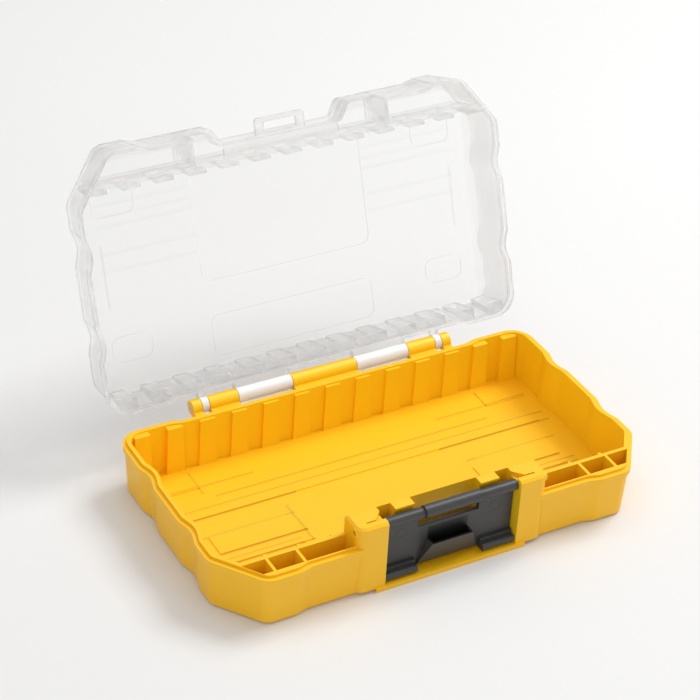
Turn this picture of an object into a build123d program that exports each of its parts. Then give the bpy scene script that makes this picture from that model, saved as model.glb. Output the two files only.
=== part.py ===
from build123d import *
from math import radians, tan
import os

# Frame: X across the case, -Y the latch side, +Y the hinge side, +Z up.
# Origin: centre of the tray's underside. The lid stands open and the latch hangs down.

# Outline at the parting plane
CASE_WIDTH = 240.0
CASE_DEPTH = 130.0
BLOCK_PROUD = 1.8            # the four corner blocks stand in front of the long walls
FRONT_BLOCK_WIDTH = 36.0
BACK_BLOCK_WIDTH = 30.0
BLOCK_STEP = 6.5             # width of the slanted step onto a block
CHAMFER_WIDTH = 19.0         # cut front corners, along X
CHAMFER_LENGTH = 24.5        # and along Y, behind the front wall
CHAMFER_ROUND = 9.0
BACK_CORNER_ROUND = 12.0
FRONT_NOTCH = (-27.0, -17.5, -8.0)           # Y where a side notch starts, bottoms and ends
BACK_NOTCH = (20.0, 29.0, 38.0)
NOTCH_DEPTH = 2.7
NOTCH_ROUND = 14.0
SOFT_ROUND = 5.5             # plan rounding of small convex corners

# Base tray
LEDGE_Z = 28.5
FLANGE_HEIGHT = 3.0
FLANGE_PROUD = 1.0
LEDGE_WIDTH = 2.2
LIP_HEIGHT = 1.5
LIP_WIDTH = 2.0
FLOOR = 2.0
OUTER_DRAFT = 3.1            # degrees
INNER_DRAFT = 1.8
BOTTOM_BEVEL = 1.2

# Walls inside the tray
FRONT_BAY_DEPTH = 14.6       # front wall to the rear face of the wall behind the compartments
PARTITION_WALL = 2.0
COMPARTMENT_FRONT_WALL = 3.0
COMPARTMENT_WALL = 2.5
DIVIDER_INSET = (40.7, 24.8)                 # dividers, from the case's side
DIVIDER_WALL = 1.5
PAD_PITCH = 18.0
PAD_END_CLEARANCE = 12.0     # last pad's middle to the case's side, at least
PAD_WIDTH = 8.4
PAD_PROUD = 1.6
PAD_DROP = 1.0               # pad tops below the lip
RIB_COUNT = 3
RIB_START = 5.2              # first rib, from the tower's side
RIB_WIDTH = 1.8
RIB_PROUD = 2.4

# Relief on the tray's floor
RELIEF = 0.5
STRIP_LENGTH = 208.0         # long raised strip behind the middle
STRIP_Y = (18.5, 25.3)
PLATE_X = (50.0, 98.0)       # stepped plate beside the middle, one on each side
PLATE_Y = (-10.5, 3.5)
PLATE_STRIP_Y = (-19.0, -16.0)
PLATE_SLANT = 6.0
CORNER_PLATE_X = (85.0, 109.0)
CORNER_PLATE_Y = (41.0, 55.0)

# Latch tower and its bay
BAY_WIDTH = 73.6
BAY_FLOOR_Z = 2.5
TOWER_WIDTH = 106.0
TOWER_Z = 40.5
TOWER_WALL = 0.6             # skin in front of the partition, inside the bay
TOWER_CORNER = 5.0
TOWER_EDGE = 1.2
BAY_RIB_X = (18.5, 29.0)     # bay ribs behind the latch barrel
BAY_RIB_HEAD = 3.5           # their faces, behind the barrel's axis
BAY_RIB_FOOT = 4.8
SWING_GAP = 0.6              # round the turning barrel
SLOT_WIDTH = 0.9
SLOT_DEPTH = 2.4
CHEEK_POCKET = (11.5, 17.5, 18.5)            # corners of the cheek's pocket, from the tower's side
SILL_WIDTH = 84.0
SILL_PROUD = 0.9
SILL_BITE = 3.0

# Latch
LATCH_SETBACK = 4.5          # barrel axis behind the front wall
LATCH_Z = 36.7
LATCH_SIDE_GAP = 0.4
BARREL_RADIUS = 2.7
CAM_WIDTH = 31.0
CAM_RADIUS = 3.3
CAM_OFFSET = 0.5
PLATE_BACK = 3.6             # back face of the plate behind the barrel's axis
PLATE_WALL = 2.2
PLATE_RISE = 1.7             # plate's top edge above the barrel's axis
PLATE_ROUND = 1.6
LATCH_DROP = 33.4            # barrel axis to the bottom of the feet
ARCH_RISE = 1.2
WINDOW_WIDTH = 34.0
WINDOW_HEIGHT = 5.4
WINDOW_DROP = 7.0
PULL_TOP_DROP = 18.2         # finger pull: its lip below the barrel's axis
PULL_TOP = (23.0, 5.6)       # width and depth at the lip
PULL_FOOT = (34.0, 0.8)      # and at the plate's bottom edge
PULL_WALL = 1.3
POCKET_DEPTH = 7.5
POCKET_FOOT = 1.2            # pocket's depth in front of the plate, at its floor
FOOT_WIDTH = 18.0
FOOT_HEIGHT = 5.8
FOOT_PROUD = 5.2
FOOT_ROLL = 3.3              # rounded roll along the foot's front, lower than its top
FOOT_STEP = 2.0
FOOT_ROUND = 1.4

# Hinge
HINGE_REACH = 6.7            # axis behind the back wall
HINGE_Z = 29.4
KNUCKLE_RADIUS = 4.0
KNUCKLE_GAP = 0.4
MIDDLE_KNUCKLE_X = 18.7
SIDE_KNUCKLE_X = (50.3, 66.5)
EAR_X = (71.0, 76.0)
KNUCKLE_FLAT = 3.4           # height of the trimmed top-back face above the axis

# Pins
HINGE_PIN = 3.0
LATCH_PIN = 2.6
PIN_CLEARANCE = 0.04         # radial, in the pieces that turn
PIN_RECESS = 6.0             # latch pin ends inside the tower's lugs
CUT_OVER = 1.0               # how far a through cut runs past both faces

# Lid
OPEN_ANGLE = 109.5
SEAM_GAP = 0.3
LID_TOP_Z = 56.0
LID_WALL = 1.8
LID_RIM_HEIGHT = 3.0
LID_RIM_PROUD = 0.7          # rim band in front of the side and back walls
LID_DRAFT = 5.6              # degrees, sides and back; the front wall stands upright
LID_ROOF_ROUND = 2.4
LID_PARTITION_WALL = 1.6
RECESS_MOUTH_WIDTH = 77.0    # lid recess for the latch, at the front wall
RECESS_WIDTH = 66.0          # and at its rear wall
RECESS_DEPTH = 9.0
RECESS_MOUTH_ROUND = 4.0
RECESS_ROUND = 2.5
RECESS_MOUTH_GAP = 0.05      # mouth line in front of the lid's front wall
LID_TOWER_GAP = 1.7
LID_POCKET_GAP = 2.4         # lid pocket above the tower
LID_PAD_TOP_Z = 49.0
TAB_WIDTH = 28.0
TAB_WALL = 2.2
TAB_REACH = 9.0
TAB_ROUND = 2.0
EYE_WIDTH = 18.8
EYE_DEPTH = 5.4
EYE_BAR = 2.4

# Shallow panels in the lid's roof, on its outer face
PANEL_DEPTH = 0.5
PANEL_ROUND = 5.0
LABEL_WIDTH = 98.6
LABEL_Y = (-45.0, 16.2)
LOWER_PANEL_WIDTH = 95.2
LOWER_PANEL_Y = (35.0, 57.0)
CORNER_PANEL_X = (81.0, 104.0)
CORNER_PANEL_Y = (-45.0, -29.0)
BACK_PANEL_X = (81.3, 103.6)
BACK_PANEL_Y = (34.0, 47.6)

FRONT_Y = -CASE_DEPTH / 2
BACK_Y = CASE_DEPTH / 2
PARTITION_Y = FRONT_Y + FRONT_BAY_DEPTH
LATCH_Y = FRONT_Y + LATCH_SETBACK
HINGE_Y = BACK_Y + HINGE_REACH
LIP_Z = LEDGE_Z + LIP_HEIGHT
RIM_INSET = LEDGE_WIDTH + LIP_WIDTH
LID_Z = LEDGE_Z + SEAM_GAP
LID_WALL_Z = LID_Z + LID_RIM_HEIGHT
LID_POCKET_Z = TOWER_Z + LID_POCKET_GAP
LATCH_HALF = BAY_WIDTH / 2 - LATCH_SIDE_GAP


def case_outline(lean=0.0):
    """Face of the case's outline; a lean draws the sides and the back in, not the front."""
    side = CASE_WIDTH / 2 - lean
    back = BACK_Y - lean
    front_block = CASE_WIDTH / 2 - FRONT_BLOCK_WIDTH
    back_block = CASE_WIDTH / 2 - BACK_BLOCK_WIDTH
    corners = [
        (front_block - BLOCK_STEP, FRONT_Y, SOFT_ROUND),
        (front_block, FRONT_Y - BLOCK_PROUD, SOFT_ROUND),
        (side - CHAMFER_WIDTH, FRONT_Y - BLOCK_PROUD, CHAMFER_ROUND),
        (side, FRONT_Y + CHAMFER_LENGTH, CHAMFER_ROUND),
    ]
    for start, middle, end in (FRONT_NOTCH, BACK_NOTCH):
        corners += [
            (side, start, SOFT_ROUND),
            (side - NOTCH_DEPTH, middle, NOTCH_ROUND),
            (side, end, SOFT_ROUND),
        ]
    corners += [
        (side, back + BLOCK_PROUD, BACK_CORNER_ROUND),
        (back_block, back + BLOCK_PROUD, SOFT_ROUND),
        (back_block - BLOCK_STEP, back, SOFT_ROUND),
    ]
    points = [(0, FRONT_Y)] + [(x, y) for x, y, _ in corners] + [(0, back)]
    half = FilletPolyline(*points, radius=[radius for _, _, radius in corners])
    return make_face([*half.edges(), *mirror(half, about=Plane.YZ).edges()])


def inset(face, amount):
    """The same outline, moved inwards by an amount."""
    return offset(face, amount=-amount, kind=Kind.INTERSECTION)


def block(x0, x1, y0, y1, z0, z1):
    """Box between opposite corners."""
    size = (x1 - x0, y1 - y0, z1 - z0)
    return Pos(x0, y0, z0) * Box(*size, align=(Align.MIN, Align.MIN, Align.MIN))


def both_sides(shape):
    """A shape and its mirror image across the case's middle."""
    return [shape, mirror(shape, about=Plane.YZ)]


def rod(x0, x1, y, z, radius):
    """Cylinder along X."""
    return Plane.YZ.offset(x0) * Pos(y, z) * extrude(Circle(radius), amount=x1 - x0)


def wall_section(points, x0, x1):
    """Profile drawn in YZ and drawn out along X."""
    face = make_face(Polyline(*points, close=True))
    return extrude(Plane.YZ.offset(x0) * face, amount=x1 - x0)


def pads(face_y, outward, bite, z0, z1):
    """Row of upright pads that bite into a long wall; their flanks follow the mould's draft."""
    rows = []
    last = int((CASE_WIDTH / 2 - PAD_END_CLEARANCE) / PAD_PITCH)
    for step in range(-last, last + 1):
        x = step * PAD_PITCH
        reach = PAD_PROUD + bite
        plan = Pos(x, face_y + outward * (reach / 2 - PAD_PROUD)) * Rectangle(PAD_WIDTH, reach)
        rows.append(extrude(Pos(0, 0, z1) * plan, amount=z0 - z1, taper=-INNER_DRAFT))
    return rows


def cavities(rim):
    """Main well and the row of small front compartments, as solids to take away."""
    hollow = extrude(Pos(0, 0, LIP_Z) * inset(rim, RIM_INSET), amount=FLOOR - LIP_Z, taper=INNER_DRAFT)
    main = hollow & block(-CASE_WIDTH, CASE_WIDTH, PARTITION_Y, CASE_DEPTH, 0, LIP_Z)
    slim = extrude(Pos(0, 0, LIP_Z) * inset(rim, COMPARTMENT_WALL), amount=FLOOR - LIP_Z, taper=INNER_DRAFT)
    front = FRONT_Y + COMPARTMENT_FRONT_WALL
    rear = PARTITION_Y - PARTITION_WALL
    side = CASE_WIDTH / 2
    edges = [TOWER_WIDTH / 2, side - DIVIDER_INSET[0], side - DIVIDER_INSET[1], side]
    cells = []
    for inner, outer in zip(edges, edges[1:]):
        x0 = inner + (0 if inner == edges[0] else DIVIDER_WALL / 2)
        x1 = outer - (0 if outer == edges[-1] else DIVIDER_WALL / 2)
        cells += both_sides(slim & block(x0, x1, front, rear, 0, LIP_Z))
    return [main, *cells]


def tray_shell():
    """Drafted tray with its flange, the lip that locates the lid, and the wells."""
    rim = case_outline()
    wall_top = LEDGE_Z - FLANGE_HEIGHT
    body = extrude(Pos(0, 0, wall_top) * inset(rim, FLANGE_PROUD), amount=-wall_top, taper=OUTER_DRAFT)
    body = chamfer(body.faces().sort_by(Axis.Z)[0].edges(), BOTTOM_BEVEL)
    flange = extrude(Pos(0, 0, wall_top) * rim, amount=FLANGE_HEIGHT)
    lip = extrude(Pos(0, 0, LEDGE_Z) * inset(rim, LEDGE_WIDTH), amount=LIP_HEIGHT)
    return body + flange + lip - cavities(rim)


def wall_pads():
    """Pads along the back wall and slim ribs on the partition, both at the bit pitch."""
    back = BACK_Y - RIM_INSET
    middle = Pos(0, 0, LIP_Z) * inset(case_outline(), LEDGE_WIDTH + LIP_WIDTH / 2)
    core = extrude(middle, amount=FLOOR / 2 - LIP_Z, taper=OUTER_DRAFT)
    pieces = [core & (Part() + pads(back, 1, RIM_INSET + BLOCK_PROUD, FLOOR / 2, LIP_Z - PAD_DROP))]
    for step in range(RIB_COUNT):
        x = TOWER_WIDTH / 2 + RIB_START + step * PAD_PITCH
        rib = block(x - RIB_WIDTH / 2, x + RIB_WIDTH / 2, PARTITION_Y - PARTITION_WALL / 2,
                    PARTITION_Y + RIB_PROUD, FLOOR / 2, LIP_Z - PAD_DROP)
        pieces += both_sides(rib)
    return pieces


def floor_relief():
    """Low raised strips and plates that the mould leaves on the tray's floor."""
    low, high = FLOOR / 2, FLOOR + RELIEF
    pieces = [block(-STRIP_LENGTH / 2, STRIP_LENGTH / 2, *STRIP_Y, low, high)]
    inner, outer = PLATE_X
    front, back = PLATE_Y
    plan = Polyline(
        (outer, front),
        (inner, front),
        (inner, back - PLATE_SLANT),
        (inner + PLATE_SLANT, back),
        (outer, back),
        close=True,
    )
    pieces += both_sides(extrude(Pos(0, 0, low) * make_face(plan), amount=high - low))
    pieces += both_sides(block(inner, outer, *PLATE_STRIP_Y, low, high))
    pieces += both_sides(block(*CORNER_PLATE_X, *CORNER_PLATE_Y, low, high))
    return pieces


def latch_tower():
    """Raised housing for the latch: two cheeks with pin lugs and a wall behind the barrel."""
    half = TOWER_WIDTH / 2
    tower = block(-half, half, FRONT_Y, PARTITION_Y, FLOOR, TOWER_Z)
    tower = fillet(tower.edges().filter_by(Axis.Z).group_by(Axis.Y)[0], TOWER_CORNER)
    tower = chamfer(tower.faces().sort_by(Axis.Z)[-1].edges(), TOWER_EDGE)
    sill = block(-SILL_WIDTH / 2, SILL_WIDTH / 2, FRONT_Y - SILL_PROUD, FRONT_Y + SILL_BITE, 0, BAY_FLOOR_Z)
    return tower + sill


def bay():
    """Open space in the tower for the latch, with the ribs behind its barrel left standing."""
    half = BAY_WIDTH / 2
    wall_y = PARTITION_Y - TOWER_WALL
    room = block(-half, half, -CASE_DEPTH, wall_y, BAY_FLOOR_Z, TOWER_Z + TOWER_WALL)
    swing = rod(-half, half, LATCH_Y, LATCH_Z, CAM_RADIUS + CAM_OFFSET + SWING_GAP)
    for rib in both_sides(bay_rib(wall_y)):
        room -= rib
    return room + swing


def bay_rib(wall_y):
    """Stepped rib that backs the barrel above the plate."""
    shoulder = LATCH_Z + PLATE_RISE + SWING_GAP
    head = LATCH_Y + BAY_RIB_HEAD
    foot = LATCH_Y + BAY_RIB_FOOT
    points = [(wall_y, 0), (foot, 0), (foot, shoulder),
              (head, shoulder), (head, LID_TOP_Z), (wall_y, LID_TOP_Z)]
    return wall_section(points, *BAY_RIB_X)


def tower_cuts():
    """Pin bore through both lugs and the narrow slots that open onto the pin."""
    half = TOWER_WIDTH / 2
    bore = rod(-half - CUT_OVER, half + CUT_OVER, LATCH_Y, LATCH_Z, LATCH_PIN / 2)
    slot_end = half - TOWER_CORNER - TOWER_EDGE
    slot_back = LATCH_Y + SLOT_WIDTH / 2
    slot_floor = TOWER_Z - SLOT_DEPTH
    slot = block(BAY_WIDTH / 2 - CUT_OVER, slot_end, LATCH_Y - SLOT_WIDTH / 2, slot_back,
                 slot_floor, TOWER_Z + CUT_OVER)
    outer, inner, tip = (half - distance for distance in CHEEK_POCKET)
    plan = Polyline((outer, slot_back), (inner, slot_back), (tip, PARTITION_Y - PARTITION_WALL), close=True)
    pocket = extrude(Pos(0, 0, slot_floor) * make_face(plan), amount=SLOT_DEPTH + CUT_OVER)
    return [bore, *both_sides(slot), *both_sides(pocket)]


def hinge_knuckle(x0, x1):
    """Barrel piece on a web from the tray's back wall, trimmed flat on its top-back."""
    wall = BACK_Y - FLANGE_PROUD
    web_z = HINGE_Z - KNUCKLE_RADIUS
    web = wall_section([(wall, web_z), (HINGE_Y, web_z), (HINGE_Y, LEDGE_Z), (wall, LEDGE_Z)], x0, x1)
    barrel = rod(x0, x1, HINGE_Y, HINGE_Z, KNUCKLE_RADIUS)
    trim = block(x0, x1, HINGE_Y, HINGE_Y + CASE_DEPTH, HINGE_Z + KNUCKLE_FLAT, LID_TOP_Z)
    return web + barrel - trim


def make_base_tray():
    """Yellow moulded tray with its latch tower and hinge knuckles."""
    tray = tray_shell() + wall_pads() + floor_relief() + latch_tower() - bay() - tower_cuts()
    knuckles = [hinge_knuckle(-MIDDLE_KNUCKLE_X, MIDDLE_KNUCKLE_X)]
    knuckles += both_sides(hinge_knuckle(*SIDE_KNUCKLE_X))
    knuckles += both_sides(hinge_knuckle(*EAR_X))
    tray += knuckles
    reach = EAR_X[1] + CUT_OVER
    return tray - rod(-reach, reach, HINGE_Y, HINGE_Z, HINGE_PIN / 2)


def lid_block(depth, top):
    """Solids a depth inside the closed lid's walls, up to a height; only the front stands upright."""
    lean = LID_RIM_PROUD + (top - LID_WALL_Z) * tan(radians(LID_DRAFT))
    foot = inset(case_outline(LID_RIM_PROUD), depth)
    head = inset(case_outline(lean), depth)
    walls = loft([Pos(0, 0, LID_WALL_Z) * foot, Pos(0, 0, top) * head], ruled=True)
    rim = extrude(Pos(0, 0, LID_Z) * inset(case_outline(), depth), amount=LID_RIM_HEIGHT)
    return [walls, rim]


def lid_outside():
    """Outer form of the closed lid on its rim band, with shallow panels in its roof."""
    walls = lid_block(0, LID_TOP_Z)[0]
    walls = fillet(walls.faces().sort_by(Axis.Z)[-1].edges(), LID_ROOF_ROUND)
    band = extrude(Pos(0, 0, LID_Z) * case_outline(), amount=LID_RIM_HEIGHT)
    return walls + band - roof_panels()


def roof_panel(x0, x1, y0, y1):
    """One rounded panel sunk into the roof's outer face."""
    plan = Pos((x0 + x1) / 2, (y0 + y1) / 2) * RectangleRounded(x1 - x0, y1 - y0, PANEL_ROUND)
    return extrude(Pos(0, 0, LID_TOP_Z - PANEL_DEPTH) * plan, amount=PANEL_DEPTH + CUT_OVER)


def roof_panels():
    """Bare label panel, the panel below it and four small ones near the corners."""
    panels = [
        roof_panel(-LABEL_WIDTH / 2, LABEL_WIDTH / 2, *LABEL_Y),
        roof_panel(-LOWER_PANEL_WIDTH / 2, LOWER_PANEL_WIDTH / 2, *LOWER_PANEL_Y),
    ]
    panels += both_sides(roof_panel(*CORNER_PANEL_X, *CORNER_PANEL_Y))
    panels += both_sides(roof_panel(*BACK_PANEL_X, *BACK_PANEL_Y))
    return panels


def lid_ribs():
    """Full-width wall behind the lid's front bay, with its pads and those of the back wall."""
    front = PARTITION_Y + SEAM_GAP
    low = LIP_Z + SEAM_GAP
    side = CASE_WIDTH / 2 - LID_WALL
    roof = LID_TOP_Z - LID_WALL / 2
    wall = block(-side, side, front, front + LID_PARTITION_WALL, low, roof)
    rows = pads(front + LID_PARTITION_WALL, -1, LID_PARTITION_WALL / 2, low, LID_PAD_TOP_Z)
    rows += pads(BACK_Y - RIM_INSET, 1, RIM_INSET + BLOCK_PROUD, low, LID_PAD_TOP_Z)
    return [wall, *rows]


def recess_plan(extra):
    """Plan of the lid's latch recess, open to the front; extra gives the wall round it."""
    mouth = RECESS_MOUTH_WIDTH / 2 + extra
    rear = RECESS_WIDTH / 2 + extra
    front_y = FRONT_Y - RECESS_MOUTH_GAP + extra
    rear_y = FRONT_Y + RECESS_DEPTH + extra
    corners = [(mouth, front_y, RECESS_MOUTH_ROUND), (rear, rear_y, RECESS_ROUND + extra)]
    reach = TOWER_WIDTH / 2
    half = FilletPolyline((reach, front_y), *[(x, y) for x, y, _ in corners], (0, rear_y),
                          radius=[radius for _, _, radius in corners])
    edges = [*half.edges(), *mirror(half, about=Plane.YZ).edges()]
    return make_face([*edges, *Polyline((-reach, front_y), (-reach, -CASE_DEPTH), (reach, -CASE_DEPTH),
                                        (reach, front_y)).edges()])


def lid_front_cuts():
    """Recess for the latch and the room over the tower."""
    recess = extrude(recess_plan(0), amount=LID_TOP_Z + CUT_OVER)
    reach = TOWER_WIDTH / 2 + LID_TOWER_GAP
    room = block(-reach, reach, -CASE_DEPTH, PARTITION_Y + SEAM_GAP, 0, LID_POCKET_Z)
    return [recess, room]


def lid_front_walls():
    """Wall round the recess, its shelf over the tower and the walls beside the tower."""
    rear = PARTITION_Y + SEAM_GAP + LID_PARTITION_WALL / 2
    roof = LID_TOP_Z - LID_WALL / 2
    height = roof - LID_POCKET_Z
    band = recess_plan(LID_WALL) - recess_plan(0)
    liner = extrude(Pos(0, 0, LID_POCKET_Z) * band, amount=height)
    shelf = block(-RECESS_WIDTH / 2, RECESS_WIDTH / 2, FRONT_Y + RECESS_DEPTH, rear,
                  LID_POCKET_Z, LID_POCKET_Z + LID_WALL)
    reach = TOWER_WIDTH / 2 + LID_TOWER_GAP
    side = block(reach, reach + LID_WALL, FRONT_Y, rear, LIP_Z + SEAM_GAP, roof)
    return [liner, shelf, *both_sides(side)]


def lid_tab():
    """Flat tab with an eye, standing out of the recess wall."""
    rear = FRONT_Y + RECESS_DEPTH + LID_WALL / 2
    depth = TAB_REACH + LID_WALL / 2
    front = rear - depth
    plate = Pos(0, rear - depth / 2) * Rectangle(TAB_WIDTH, depth)
    plate = fillet(plate.vertices().group_by(Axis.Y)[0], TAB_ROUND)
    eye = Pos(0, front + EYE_BAR + EYE_DEPTH / 2) * RectangleRounded(EYE_WIDTH, EYE_DEPTH, TAB_ROUND / 2)
    return extrude(Pos(0, 0, LID_POCKET_Z) * (plate - eye), amount=TAB_WALL)


def lid_knuckle(x0, x1):
    """Barrel piece on a web from the lid's back wall."""
    wall = BACK_Y - LID_WALL / 2
    top = HINGE_Z + KNUCKLE_RADIUS
    web = wall_section([(wall, LID_Z), (HINGE_Y, LID_Z), (HINGE_Y, top), (wall, top)], x0, x1)
    return web + rod(x0, x1, HINGE_Y, HINGE_Z, KNUCKLE_RADIUS)


def open_lid(shape):
    """Turn the closed lid to where it rests open."""
    return shape.rotate(Axis((0, HINGE_Y, HINGE_Z), (1, 0, 0)), -OPEN_ANGLE)


def make_lid():
    """Clear lid with its recess, partition, tab and hinge barrels, standing open."""
    core = Part() + lid_block(LID_WALL / 2, LID_TOP_Z - LID_WALL / 2)
    lid = lid_outside() - lid_block(LID_WALL, LID_TOP_Z - LID_WALL)
    lid += core & (Part() + lid_ribs())
    lid -= lid_front_cuts()
    lid += core & (Part() + lid_front_walls())
    lid += lid_tab()
    barrel = (MIDDLE_KNUCKLE_X + KNUCKLE_GAP, SIDE_KNUCKLE_X[0] - KNUCKLE_GAP)
    ring = (SIDE_KNUCKLE_X[1] + KNUCKLE_GAP, EAR_X[0] - KNUCKLE_GAP)
    lid += both_sides(lid_knuckle(*barrel)) + both_sides(lid_knuckle(*ring))
    bore = rod(-EAR_X[1], EAR_X[1], HINGE_Y, HINGE_Z, HINGE_PIN / 2 + PIN_CLEARANCE)
    return open_lid(lid - bore)


def latch_plate():
    """Plate that hangs from the back of the barrel, arched between its feet."""
    back = LATCH_Y + PLATE_BACK
    front = back - PLATE_WALL
    bottom = LATCH_Z - LATCH_DROP
    top = LATCH_Z + PLATE_RISE
    web = top - PLATE_WALL
    plate = wall_section([(LATCH_Y, web), (front, web), (front, bottom), (back, bottom), (back, top),
                          (LATCH_Y, top)], -LATCH_HALF, LATCH_HALF)
    plate = fillet(plate.edges().filter_by(Axis.X).sort_by(Axis.Y)[-1:], PLATE_ROUND)
    arch_half = LATCH_HALF - FOOT_WIDTH
    arch = block(-arch_half, arch_half, front, back, bottom, bottom + ARCH_RISE)
    window_z = LATCH_Z - WINDOW_DROP
    window = block(-WINDOW_WIDTH / 2, WINDOW_WIDTH / 2, front, back,
                   window_z - WINDOW_HEIGHT / 2, window_z + WINDOW_HEIGHT / 2)
    return plate - arch - window


def tapered(top_size, foot_size, top_z, foot_z):
    """Block that narrows downwards from the plate's front, both sizes given as width and depth."""
    rear = LATCH_Y + PLATE_BACK - PLATE_WALL
    faces = []
    for (width, depth), z in ((top_size, top_z), (foot_size, foot_z)):
        faces.append(Pos(0, rear - depth / 2, z) * Rectangle(width, depth))
    return loft(faces, ruled=True)


def latch_pull():
    """Finger pull: a lip on the plate that runs out to its bottom edge, with a pocket behind it."""
    top = LATCH_Z - PULL_TOP_DROP
    outside = tapered(PULL_TOP, PULL_FOOT, top, LATCH_Z - LATCH_DROP + ARCH_RISE)
    width = PULL_TOP[0] - 2 * PULL_WALL
    pocket = tapered((width, PULL_TOP[1] - PULL_WALL), (width, POCKET_FOOT), top, top - POCKET_DEPTH)
    return outside - pocket


def latch_foot():
    """Foot with a rounded roll along its front, at one end of the plate's bottom edge."""
    back = LATCH_Y + PLATE_BACK - PLATE_WALL / 2
    front = LATCH_Y + PLATE_BACK - PLATE_WALL - FOOT_PROUD
    bottom = LATCH_Z - LATCH_DROP
    top = bottom + FOOT_HEIGHT
    step = top - FOOT_STEP
    ridge = front + FOOT_ROLL
    points = [(back, bottom), (front, bottom), (front, step), (ridge, step), (ridge, top), (back, top)]
    foot = wall_section(points, LATCH_HALF - FOOT_WIDTH, LATCH_HALF)
    return fillet(foot.edges().filter_by(Axis.X).group_by(Axis.Y)[0], FOOT_ROUND)


def make_latch():
    """Black latch: barrel with a raised cam, plate, finger pull and two feet."""
    latch = rod(-LATCH_HALF, LATCH_HALF, LATCH_Y, LATCH_Z, BARREL_RADIUS)
    latch += rod(-CAM_WIDTH / 2, CAM_WIDTH / 2, LATCH_Y - CAM_OFFSET, LATCH_Z + CAM_OFFSET, CAM_RADIUS)
    latch += latch_plate()
    latch += latch_pull()
    latch += both_sides(latch_foot())
    return latch - rod(-LATCH_HALF, LATCH_HALF, LATCH_Y, LATCH_Z, LATCH_PIN / 2 + PIN_CLEARANCE)


def make_hinge_pin():
    """Steel pin through every knuckle of the hinge."""
    return rod(-EAR_X[1], EAR_X[1], HINGE_Y, HINGE_Z, HINGE_PIN / 2)


def make_latch_pin():
    """Steel pin through the tower's lugs and the latch barrel."""
    half = TOWER_WIDTH / 2 - PIN_RECESS
    return rod(-half, half, LATCH_Y, LATCH_Z, LATCH_PIN / 2)


PIECES = {
    "base_tray": make_base_tray,
    "lid": make_lid,
    "latch": make_latch,
    "hinge_pin": make_hinge_pin,
    "latch_pin": make_latch_pin,
}

os.makedirs("parts", exist_ok=True)
for name, make in PIECES.items():
    export_step(make(), f"parts/{name}.step")
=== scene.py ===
import math

import bpy
from mathutils import Matrix, Vector


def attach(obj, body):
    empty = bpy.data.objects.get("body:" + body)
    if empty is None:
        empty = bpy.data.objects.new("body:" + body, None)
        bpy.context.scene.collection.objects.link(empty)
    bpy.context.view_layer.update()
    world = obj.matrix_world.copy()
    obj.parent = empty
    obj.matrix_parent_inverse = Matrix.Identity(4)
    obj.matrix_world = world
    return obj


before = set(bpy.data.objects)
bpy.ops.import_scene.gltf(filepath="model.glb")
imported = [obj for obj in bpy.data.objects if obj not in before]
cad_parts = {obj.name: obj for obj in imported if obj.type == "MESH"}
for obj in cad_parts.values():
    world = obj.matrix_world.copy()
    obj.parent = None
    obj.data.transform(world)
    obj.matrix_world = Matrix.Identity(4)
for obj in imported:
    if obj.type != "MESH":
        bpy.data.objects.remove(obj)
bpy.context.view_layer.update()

bpy.ops.object.select_all(action="DESELECT")     # the loaded pieces come selected

# ---------------------------------------------------------------- the viewpoint
# The case is seen from the front left, from a little above, with a long lens and a slight roll.
# Places are in metres in the case's own frame, angles in degrees, and the lens's values in pixels.
EYE = Vector((-0.4772, -0.7725, 0.7041))
LOOK_TURN = math.radians(-30.1)
LOOK_DOWN = math.radians(33.39)
LOOK_ROLL = math.radians(3.2)
PICTURE_SIDE = 700.0
FOCAL_PIXELS = 2253.7
OPTICAL_CENTRE = (345.5, 317.05)
SENSOR_WIDTH = 36.0              # in millimetres

backwards = Vector((
    math.sin(LOOK_TURN) * math.cos(LOOK_DOWN),
    -math.cos(LOOK_TURN) * math.cos(LOOK_DOWN),
    math.sin(LOOK_DOWN),
))
level_right = Vector((math.cos(LOOK_TURN), math.sin(LOOK_TURN), 0.0))
level_up = backwards.cross(level_right)
right = math.cos(LOOK_ROLL) * level_right + math.sin(LOOK_ROLL) * level_up
up = -math.sin(LOOK_ROLL) * level_right + math.cos(LOOK_ROLL) * level_up
lens = bpy.data.cameras.new("viewpoint")
lens.sensor_width = SENSOR_WIDTH
lens.lens = FOCAL_PIXELS / PICTURE_SIDE * SENSOR_WIDTH
lens.shift_x = 0.5 - OPTICAL_CENTRE[0] / PICTURE_SIDE
lens.shift_y = OPTICAL_CENTRE[1] / PICTURE_SIDE - 0.5
camera = bpy.data.objects.new("viewpoint", lens)
bpy.context.collection.objects.link(camera)
camera.matrix_world = Matrix.Translation(EYE) @ Matrix((right, up, backwards)).transposed().to_4x4()
bpy.context.scene.camera = camera

# ---------------------------------------------------------------- the studio
# Pale matt paper lies on a wide level floor, in air that gives an even light from all round.
# A square softbox is the key, high on the right; weaker panels overhead and in front fill the shade.
FLOOR_SIDE = 6.0
FLOOR_LEVEL = -0.0001            # a hair below the case, so that the two faces don't lie in one plane
PAPER_GREY = (0.755, 0.75, 0.745, 1.0)
PAPER_PALE = (0.785, 0.785, 0.78, 1.0)
PAPER_MOTTLE = (3.0, 1.0, 0.5)   # each pattern's scale, detail and roughness
PAPER_ROUGHNESS = 0.9
AIR_WHITE = (1.0, 1.0, 1.0, 1.0)
AIR_STRENGTH = 0.55
SOFTBOXES = (                    # name, place, what it aims at, width and height, watts
    ("key_right", (1.27, 0.15, 1.63), (0.0, 0.0, 0.03), (0.9, 0.9), 25.0),
    ("overhead", (0.0, 0.15, 1.5), (0.0, 0.0, 0.0), (1.4, 1.2), 5.0),
    ("front_fill", (-0.7, -1.2, 0.8), (0.0, 0.0, 0.05), (1.2, 0.8), 2.0),
)
MIX_FIRST, MIX_SECOND = 6, 7     # the numbers of a Mix node's two colour inputs
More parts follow.
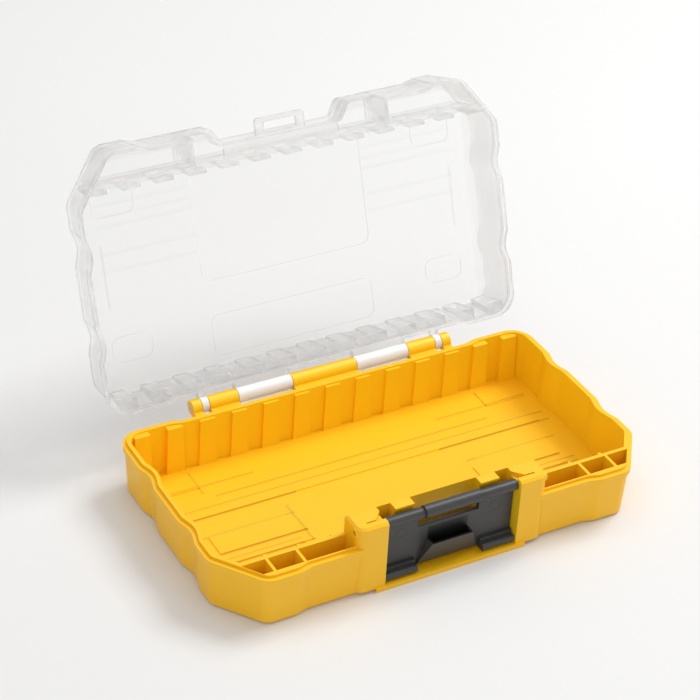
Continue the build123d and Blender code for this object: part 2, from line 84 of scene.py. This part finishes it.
MIX_RESULT = 2                   # and of its colour output


class Sum:
    """A shader socket that can be used in a Python expression; each step adds a Math node."""

    def __init__(self, shop, socket):
        self.shop = shop
        self.socket = socket

    def math(self, operation, other, swapped=False):
        first, second = (other, self) if swapped else (self, other)
        return self.shop.node("ShaderNodeMath", {"operation": operation}, {0: first, 1: second}).out()

    def __add__(self, other):
        return self.math("ADD", other)

    def __radd__(self, other):
        return self.math("ADD", other, True)

    def __sub__(self, other):
        return self.math("SUBTRACT", other)

    def __rsub__(self, other):
        return self.math("SUBTRACT", other, True)

    def __mul__(self, other):
        return self.math("MULTIPLY", other)

    def __rmul__(self, other):
        return self.math("MULTIPLY", other, True)

    def __truediv__(self, other):
        return self.math("DIVIDE", other)

    def __pow__(self, other):
        return self.math("POWER", other)

    def __lt__(self, other):
        return self.math("LESS_THAN", other)

    def __gt__(self, other):
        return self.math("GREATER_THAN", other)


class Made:
    """A node that has been placed in a finish; out() gives one of its outputs."""

    def __init__(self, shop, node):
        self.shop = shop
        self.node = node

    def out(self, name=0):
        return Sum(self.shop, self.node.outputs[name])


class Finish:
    """One procedural material and its Principled shader."""

    def __init__(self, name):
        self.material = bpy.data.materials.new(name)
        self.material.use_nodes = True
        self.tree = self.material.node_tree
        self.tree.nodes.clear()
        self.shader = self.node("ShaderNodeBsdfPrincipled").node
        self.exit = self.node("ShaderNodeOutputMaterial").node
        self.tree.links.new(self.shader.outputs[0], self.exit.inputs[0])

    def node(self, kind, settings=None, sockets=None):
        node = self.tree.nodes.new(kind)
        for key, value in (settings or {}).items():
            setattr(node, key, value)
        for key, value in (sockets or {}).items():
            self.feed(node.inputs[key], value)
        return Made(self, node)

    def feed(self, entry, value):
        if isinstance(value, Sum):
            self.tree.links.new(value.socket, entry)
        else:
            entry.default_value = value

    def fill(self, shader, sockets):
        for key, value in sockets.items():
            self.feed(shader.inputs[key.replace("_", " ")], value)

    def surface(self, **sockets):
        """Sets the finish's own shader; an underscore stands for a space in a socket's name."""
        self.fill(self.shader, sockets)

    def over(self, mask, **sockets):
        """Lays a second surface over the first, by as much as the mask says."""
        top = self.node("ShaderNodeBsdfPrincipled").node
        self.fill(top, sockets)
        mix = self.node("ShaderNodeMixShader", {}, {0: mask}).node
        self.tree.links.new(self.shader.outputs[0], mix.inputs[1])
        self.tree.links.new(top.outputs[0], mix.inputs[2])
        self.tree.links.new(mix.outputs[0], self.exit.inputs[0])

    def coordinates(self):
        return self.node("ShaderNodeTexCoord").out("Object")

    def facing(self):
        return self.node("ShaderNodeTexCoord").out("Normal")

    def axes(self, place):
        split = self.node("ShaderNodeSeparateXYZ", {}, {0: place})
        return split.out("X"), split.out("Y"), split.out("Z")

    def magnitude(self, value):
        return self.node("ShaderNodeMath", {"operation": "ABSOLUTE"}, {0: value}).out()

    def positive(self, value):
        return self.node("ShaderNodeMath", {"operation": "MAXIMUM"}, {0: value, 1: 0.0}).out()

    def noise(self, place, scale, detail, rough):
        sockets = {"Vector": place, "Scale": scale, "Detail": detail, "Roughness": rough}
        return self.node("ShaderNodeTexNoise", {}, sockets).out()

    def blend(self, mask, first, second):
        sockets = {0: mask, MIX_FIRST: first, MIX_SECOND: second}
        return self.node("ShaderNodeMix", {"data_type": "RGBA"}, sockets).out(MIX_RESULT)

    def bump(self, height, depth, strength):
        sockets = {"Height": height, "Distance": depth, "Strength": strength}
        return self.node("ShaderNodeBump", {}, sockets).out("Normal")


def softbox(name, place, aim, size, watts):
    """A lit rectangular panel that faces its aim."""
    panel = bpy.data.lights.new(name, "AREA")
    panel.shape = "RECTANGLE"
    panel.size, panel.size_y = size
    panel.energy = watts
    lamp = bpy.data.objects.new(name, panel)
    bpy.context.collection.objects.link(lamp)
    turn = (Vector(place) - Vector(aim)).to_track_quat("Z", "Y")
    lamp.matrix_world = Matrix.Translation(place) @ turn.to_matrix().to_4x4()


bpy.ops.mesh.primitive_plane_add(size=FLOOR_SIDE, location=(0.0, 0.0, FLOOR_LEVEL))
floor = bpy.context.object
floor.name = "studio_floor"
paper = Finish("studio_paper")
mottle = paper.noise(paper.coordinates(), *PAPER_MOTTLE)
paper.surface(Base_Color=paper.blend(mottle, PAPER_GREY, PAPER_PALE), Roughness=PAPER_ROUGHNESS)
floor.data.materials.append(paper.material)

for box in SOFTBOXES:
    softbox(*box)
air = bpy.data.worlds.new("studio_air")
air.use_nodes = True
glow = air.node_tree.nodes["Background"]
glow.inputs["Color"].default_value = AIR_WHITE
glow.inputs["Strength"].default_value = AIR_STRENGTH
bpy.context.scene.world = air
bpy.context.scene.view_settings.view_transform = "Standard"

# ---------------------------------------------------------------- the tray
# One yellow polypropylene moulding with a fine spark-eroded grain on its faces.
# Faint flow marks cross it; painted shade darkens the creases by the floor's raised strips.
TRAY_YELLOW = (0.985, 0.555, 0.008, 1.0)
TRAY_DEEP = (0.965, 0.520, 0.006, 1.0)           # the flow marks' colour
INSIDE_LIGHT_YELLOW = (0.985, 0.625, 0.006, 1.0)       # painted light: the walls' inner faces are painted a little lighter than the outer ones
INWARD = -0.004                  # a wall faces inward when its place times its facing is below this
FLOW_MARKS = (18.0, 3.0, 0.5)
TRAY_GRAIN = (1500.0, 2.0, 0.6)
TRAY_GRAIN_DEPTH = 0.00006
TRAY_GRAIN_STRENGTH = 0.5
TRAY_ROUGHNESS = 0.36
TRAY_GRAIN_DULLS = 0.10          # what the grain adds to the roughness, at most
TRAY_IOR = 1.49
# painted shade: the creases beside the floor's raised strips are painted this darker yellow
CREASE_SHADE_YELLOW = (0.66, 0.36, 0.008, 1.0)
CREASE_REACH = 0.0010
FLOOR_UNDER = 0.0010             # the painted shade of the creases lies between these heights, so none shows from underneath
FLOOR_TOP = 0.0029
FLOOR_ROWS = (                   # creases of painted shade along X: nearest and farthest |x|, then y
    (0.042, 0.110, 0.0181), (0.0, 0.110, 0.0251), (0.0, 0.080, 0.0322),
    (0.050, 0.104, 0.0040), (0.050, 0.098, -0.0110),
    (0.056, 0.104, -0.0154), (0.056, 0.104, -0.0195),
    (0.054, 0.109, 0.0422),
)
FLOOR_COLUMNS = (                # and along Y on the left: nearest and farthest y, then |x|
    (-0.0195, 0.0110, 0.0515), (0.036, 0.0553, 0.0852),
)


def dress(node, finish):
    """Gives a CAD piece its finish."""
    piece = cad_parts[node]
    piece.data.materials.clear()
    piece.data.materials.append(finish.material)


tray = Finish("tray_polypropylene")
where = tray.coordinates()
across, along, height = tray.axes(where)
from_middle = tray.magnitude(across)
# painted shade along the floor's creases: a thin dark line at each listed row and column
crease_shade = 0.0
for nearest, farthest, row in FLOOR_ROWS:
    nearness = tray.positive(1.0 - tray.magnitude(along - row) / CREASE_REACH)
    crease_shade = nearness * (from_middle > nearest) * (from_middle < farthest) + crease_shade
for nearest, farthest, column in FLOOR_COLUMNS:
    nearness = tray.positive(1.0 - tray.magnitude(from_middle - column) / CREASE_REACH)
    crease_shade = nearness * (along > nearest) * (along < farthest) * (across < 0.0) + crease_shade
crease_shade = crease_shade * (height < FLOOR_TOP) * (height > FLOOR_UNDER)
turned_x, turned_y, _ = tray.axes(tray.facing())
# painted light: faces that look inward get the lighter inside yellow
inside = across * turned_x + along * turned_y < INWARD
flow = tray.noise(where, *FLOW_MARKS)
grain = tray.noise(where, *TRAY_GRAIN)
plain = tray.blend(inside, tray.blend(flow, TRAY_YELLOW, TRAY_DEEP), INSIDE_LIGHT_YELLOW)
tray.surface(
    Base_Color=tray.blend(crease_shade, plain, CREASE_SHADE_YELLOW),
    Roughness=TRAY_ROUGHNESS + TRAY_GRAIN_DULLS * grain,
    Normal=tray.bump(grain, TRAY_GRAIN_DEPTH, TRAY_GRAIN_STRENGTH),
    IOR=TRAY_IOR,
)
dress("base_tray", tray)

# ---------------------------------------------------------------- the lid
# One clear polished styrene moulding, whose hinge barrels come out milky. All of it carries a
# little haze, more at the two side walls and in the deep bays along the front.
CLEAR_TINT = (0.992, 0.995, 0.997, 1.0)
CLEAR_IOR = 1.36
CLEARNESS = 0.58                 # the share of the surface that bends light; the rest passes it straight
POLISH = 0.03                    # the clear faces' roughness
RIPPLE = (24.0, 2.0, 0.5)
RIPPLE_DEPTH = 0.00025
RIPPLE_STRENGTH = 0.35
RIPPLE_DULLS = 0.05
MILKY_WHITE = (0.995, 0.995, 0.995, 1.0)
MILKY_ROUGHNESS = 0.42
MILKY_IOR = 1.49
LID_HAZE = 0.04
SIDE_WALL_X = 0.1125
SIDE_HAZE = 0.06
FRONT_BAY_Z = 0.142              # the bays either side of the latch, and the tab, lie above this
BAY_HAZE = 0.10
HINGE_AXIS = (0.0717, 0.0294)    # Y and Z
BARREL_REACH = 0.0043
BARREL_HAZE = 0.75
SHADE_GREY = (0.70, 0.705, 0.71, 1.0)   # painted shade: fine scores and the bays' edges are painted a little grey
EDGE_BAND = (0.147, 0.131)       # the bays' uppermost wall, near the roof: above this Z, behind this Y
EDGE_SHADE = 0.7
SCORE_REACH = 0.0006
ROOF_ROWS = (0.0894, 0.0980, 0.1113, 0.1164, 0.1220)     # painted grey lines of fine scores across the roof, by height
ROW_ENDS = (0.050, 0.104)        # their nearest and farthest |x|
ROW_SHADE = 0.5
ROOF_COLUMN = (0.0711, 0.1027, 0.1020)                   # and one down each side: two heights, then |x|
lid = Finish("lid_clear_styrene")
where = lid.coordinates()
across, along, height = lid.axes(where)
from_middle = lid.magnitude(across)
from_hinge = ((along - HINGE_AXIS[0]) ** 2.0 + (height - HINGE_AXIS[1]) ** 2.0) ** 0.5
haze = LID_HAZE + (height > FRONT_BAY_Z) * BAY_HAZE + (from_middle > SIDE_WALL_X) * SIDE_HAZE
haze = haze + (from_hinge < BARREL_REACH) * BARREL_HAZE
rows = 0.0
for row in ROOF_ROWS:
    rows = lid.positive(1.0 - lid.magnitude(height - row) / SCORE_REACH) + rows
rows = rows * (from_middle > ROW_ENDS[0]) * (from_middle < ROW_ENDS[1])
lowest, highest, column = ROOF_COLUMN
nearness = lid.positive(1.0 - lid.magnitude(from_middle - column) / SCORE_REACH)
scores = rows * ROW_SHADE + nearness * (height > lowest) * (height < highest)
# painted shade: grey along the scores and along the bays' uppermost wall
painted_shade = scores + (height > EDGE_BAND[0]) * (along > EDGE_BAND[1]) * EDGE_SHADE
ripple = lid.noise(where, *RIPPLE)
lid.surface(
    Base_Color=lid.blend(painted_shade, CLEAR_TINT, SHADE_GREY),
    Roughness=POLISH + RIPPLE_DULLS * ripple,
    Transmission_Weight=1.0,
    Alpha=CLEARNESS,
    IOR=CLEAR_IOR,
    Normal=lid.bump(ripple, RIPPLE_DEPTH, RIPPLE_STRENGTH),
)
lid.over(haze, Base_Color=MILKY_WHITE, Roughness=MILKY_ROUGHNESS, IOR=MILKY_IOR)
dress("lid", lid)

# ---------------------------------------------------------------- the latch
# One black glass-filled nylon moulding, satin, with a slightly coarser grain than the tray.
# The recess behind its finger pull, and the plate above the pull up to the window, are painted near
# black as painted shade.
LATCH_BLACK = (0.040, 0.040, 0.040, 1.0)
LATCH_GREY = (0.060, 0.060, 0.058, 1.0)
LATCH_MOTTLE = (60.0, 2.0, 0.5)
LATCH_GRAIN = (1100.0, 2.0, 0.6)
LATCH_GRAIN_DEPTH = 0.00008
LATCH_GRAIN_STRENGTH = 0.5
LATCH_ROUGHNESS = 0.34
LATCH_GRAIN_DULLS = 0.14
# painted shade: the recess behind the finger pull is painted this near black
RECESS_SHADE_BLACK = (0.006, 0.006, 0.006, 1.0)
RECESS_HALF = 0.0112             # half the recess's width
RECESS_FOOT = 0.0112             # its lowest and highest Z
RECESS_TOP = 0.0252
RECESS_BACK = -0.0585            # what lies behind this Y isn't darkened
PLATE_NEAR = -0.0593             # in front of this Y, the faces that look forward are the pull's own
FACING_FRONT = -0.5              # a face looks forward when its facing along Y is below this
latch = Finish("latch_nylon")
where = latch.coordinates()
across, along, height = latch.axes(where)
_, turned_y, _ = latch.axes(latch.facing())
# painted shade over the recess behind the pull
recess_shade = (latch.magnitude(across) < RECESS_HALF) * (height > RECESS_FOOT) * (height < RECESS_TOP)
recess_shade = recess_shade * (along < RECESS_BACK) * ((along > PLATE_NEAR) + (turned_y > FACING_FRONT))
grain = latch.noise(where, *LATCH_GRAIN)
plain = latch.blend(latch.noise(where, *LATCH_MOTTLE), LATCH_BLACK, LATCH_GREY)
latch.surface(
    Base_Color=latch.blend(recess_shade, plain, RECESS_SHADE_BLACK),
    Roughness=LATCH_ROUGHNESS + LATCH_GRAIN_DULLS * grain,
    Normal=latch.bump(grain, LATCH_GRAIN_DEPTH, LATCH_GRAIN_STRENGTH),
)
dress("latch", latch)

# ---------------------------------------------------------------- the pin collars
# Raised collars round the two ends of the latch pin's bore, on the outer sides of the tray's tower.
# They come out of the tray's own mould, in the same yellow, with softened edges.
PIN_AXIS = (-0.0605, 0.0367)     # Y and Z of the latch pin
COLLAR_FACE_X = 0.0533
COLLAR_OUTER = 0.0025
COLLAR_INNER = 0.0015
COLLAR_DEPTH = 0.0016
COLLAR_BEVEL = 0.00015
RIM_POINTS = 40
BEVEL_STEPS = 2


def moulded_ring(name, centre, facing, outer, inner, depth, bevel):
    """Flat ring that faces along a direction, with its front at the centre and its edges bevelled."""
    bpy.ops.mesh.primitive_circle_add(vertices=RIM_POINTS, radius=outer, fill_type="NGON")
    ring = bpy.context.object
    ring.name = name
    bpy.ops.object.mode_set(mode="EDIT")
    bpy.ops.mesh.inset(thickness=outer - inner)
    bpy.ops.mesh.delete(type="FACE")
    bpy.ops.object.mode_set(mode="OBJECT")
    wall = ring.modifiers.new("wall", "SOLIDIFY")
    wall.thickness = depth
    wall.offset = -1.0           # the wall grows behind the front face
    bpy.ops.object.modifier_apply(modifier=wall.name)
    edge = ring.modifiers.new("edge", "BEVEL")
    edge.width = bevel
    edge.segments = BEVEL_STEPS
    bpy.ops.object.modifier_apply(modifier=edge.name)
    ring.rotation_euler = Vector((0.0, 0.0, 1.0)).rotation_difference(Vector(facing)).to_euler()
    ring.location = centre
    bpy.ops.object.transform_apply(location=True, rotation=True, scale=True)
    bpy.ops.object.mode_set(mode="EDIT")
    bpy.ops.mesh.select_all(action="SELECT")
    bpy.ops.mesh.normals_make_consistent(inside=False)
    bpy.ops.mesh.select_all(action="DESELECT")
    bpy.ops.object.mode_set(mode="OBJECT")
    bpy.ops.object.select_all(action="DESELECT")
    return ring


for side_name, sign in (("left", -1.0), ("right", 1.0)):
    collar = moulded_ring(
        f"pin_collar_{side_name}", (sign * COLLAR_FACE_X, *PIN_AXIS), (sign, 0.0, 0.0),
        COLLAR_OUTER, COLLAR_INNER, COLLAR_DEPTH, COLLAR_BEVEL,
    )
    collar.data.materials.append(tray.material)
    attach(collar, "base")

# ---------------------------------------------------------------- the ejector marks
# Faint raised rings that the mould's ejector pins leave on the latch's plate, either side of the pull.
# They are part of the black moulding and stand a tenth of a millimetre proud of it.
PLATE_FACE_Y = -0.0591
MARK_PROUD = 0.0001
MARK_DEPTH = 0.0004
MARK_OUTER = 0.0031
MARK_INNER = 0.0026
MARK_BEVEL = MARK_PROUD / 2
MARK_PLACES = (("left", -0.0260, 0.0262), ("right", 0.0262, 0.0258))     # X and Z

for side_name, mark_x, mark_z in MARK_PLACES:
    mark = moulded_ring(
        f"ejector_mark_{side_name}", (mark_x, PLATE_FACE_Y - MARK_PROUD, mark_z), (0.0, -1.0, 0.0),
        MARK_OUTER, MARK_INNER, MARK_DEPTH, MARK_BEVEL,
    )
    mark.data.materials.append(latch.material)
    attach(mark, "latch")

# ---------------------------------------------------------------- the pins
# Two lengths of drawn steel wire, cut square, one through the hinge's knuckles and one through the
# latch's barrel. Drawing leaves fine marks along their length.
WIRE_GREY = (0.56, 0.57, 0.58, 1.0)
DRAWN_OUT = (40.0, 3000.0, 3000.0)       # the marks' pattern is much coarser along the wire
DRAW_MARKS = (1.0, 2.0, 0.5)
WIRE_ROUGHNESS = 0.28
DRAW_MARKS_DULL = 0.2
wire = Finish("pin_wire")
stretched = wire.node("ShaderNodeMapping", {}, {"Vector": wire.coordinates(), "Scale": DRAWN_OUT}).out()
marks = wire.noise(stretched, *DRAW_MARKS)
wire.surface(Base_Color=WIRE_GREY, Metallic=1.0, Roughness=WIRE_ROUGHNESS + DRAW_MARKS_DULL * marks)
for pin in ("hinge_pin", "latch_pin"):
    dress(pin, wire)
